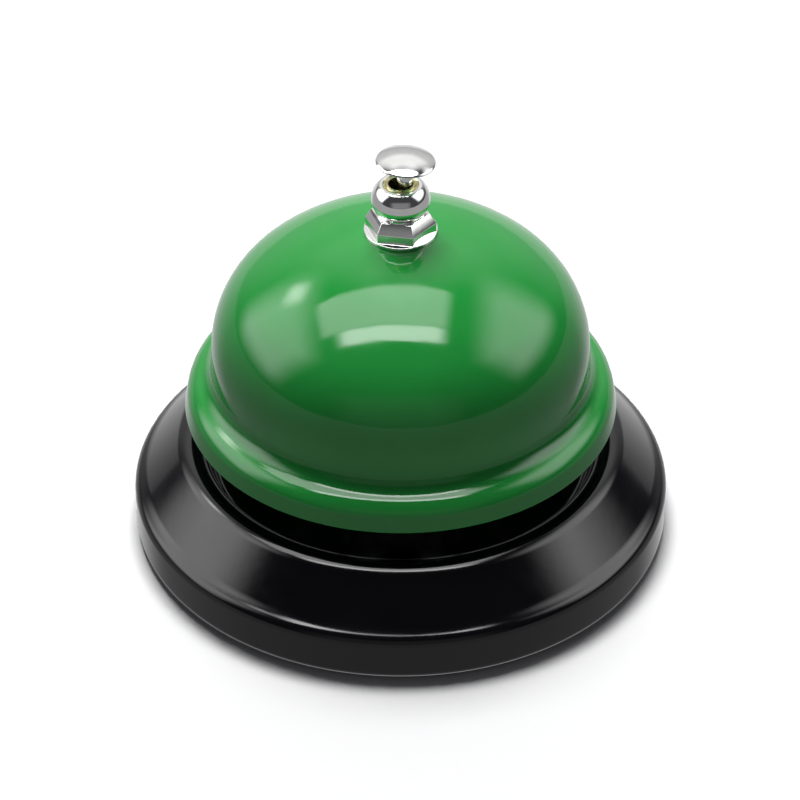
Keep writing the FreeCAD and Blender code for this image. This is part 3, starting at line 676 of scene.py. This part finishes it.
def studio_lights():
    for box in SOFTBOXES:
        softbox(*box)
    sheen = softbox("floor_sheen", (0, 0, SHEEN_HEIGHT), (0, 0, 1), STUDIO_FLOOR, STUDIO_FLOOR,
                    SHEEN_RADIANCE, SHEEN_FEATHER)
    sheen.visible_diffuse = True
    for light in MATT_LIGHTS:
        matt_light(*light)


def studio_world():
    """Dim room, with a pale backdrop behind the bell up to two thirds of a right angle."""
    world = bpy.data.worlds.new("studio")
    world.use_nodes = True
    bpy.context.scene.world = world
    sky = Shading(world.node_tree)
    place = sky.node("ShaderNodeTexCoord").outputs["Generated"]
    axes = sky.node("ShaderNodeSeparateXYZ")
    sky.link(place, axes.inputs["Vector"])
    backdrop = sky.node("ShaderNodeValToRGB")
    heights = backdrop.color_ramp.elements
    for element, (position, colour) in zip(heights, (BACKDROP_FOOT, BACKDROP_HEAD)):
        element.position = position
        element.color = (*colour, 1)
    for position, value in BACKDROP_BANDS:
        heights.new(position).color = (value, value, value, 1)
    sky.link(axes.outputs["Z"], backdrop.inputs["Fac"])
    level = sky.node("ShaderNodeVectorMath")
    level.operation = "MULTIPLY"
    level.inputs[1].default_value = (1, 1, 0)
    sky.link(place, level.inputs[0])
    heading = sky.node("ShaderNodeVectorMath")
    heading.operation = "NORMALIZE"
    sky.link(level.outputs["Vector"], heading.inputs[0])
    compass = sky.node("ShaderNodeSeparateXYZ")
    sky.link(heading.outputs["Vector"], compass.inputs["Vector"])
    blend = sky.node("ShaderNodeMix")
    blend.data_type = "RGBA"
    room_colour, backdrop_colour = blend.inputs[6], blend.inputs[7]
    room_colour.default_value = (*ROOM, 1)
    sky.link(backdrop.outputs["Color"], backdrop_colour)
    behind = sky.rescale(compass.outputs["Y"], BACKDROP_HEADING, (0, 1), smooth=True)
    sky.link(behind, blend.inputs["Factor"])
    sky.link(blend.outputs[2], sky.tree.nodes["Background"].inputs["Color"])


def camera():
    data = bpy.data.cameras.new("camera")
    data.lens = CAMERA_LENS
    data.sensor_width = CAMERA_SENSOR
    holder = bpy.data.objects.new("camera", data)
    holder.location = CAMERA_PLACE
    holder.rotation_euler = (radians(90 - CAMERA_PITCH), 0, 0)
    bpy.context.scene.collection.objects.link(holder)
    bpy.context.scene.camera = holder
    bpy.context.scene.view_settings.view_transform = "Standard"


# ---- putting it together -----------------------------------------------------------------
# Each visible mesh, the CAD node it stands for, its body and its finish. The spring stretches
# between two bodies, so it has none of its own.
PIECES = [
    (base_pan, "base_shell", "base", "black_gloss_paint"),
    (foot_gasket, "foot_ring", "base", "black_rubber"),
    (bell_dome, "dome", "base", "green_gloss_paint"),
    (finial, "finial_nut", "base", "chrome_plate"),
    (brass_bush, "nut_bush", "base", "brass"),
    (press_button, "button_cap", "plunger", "chrome_plate"),
    (collar, "stem_collar", "plunger", "chrome_plate"),
    (coil_spring, "return_spring", None, "spring_steel"),
]

finishes = {name: maker() for name, maker in FINISHES.items()}
for make_piece, node, body, finish in PIECES:
    piece = make_piece()
    piece.data.materials.append(finishes[finish])
    if body:
        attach(piece, body)
    else:
        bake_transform(piece)
    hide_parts(node)

replaced = {node for make_piece, node, body, finish in PIECES}
for part in frame["record"]["subparts"]:
    if part["node"] not in replaced:
        for slot in frame["nodes"][part["node"]].material_slots:
            slot.material = finishes[part["material_slot"]]

studio_floor()
studio_lights()
studio_world()
camera()
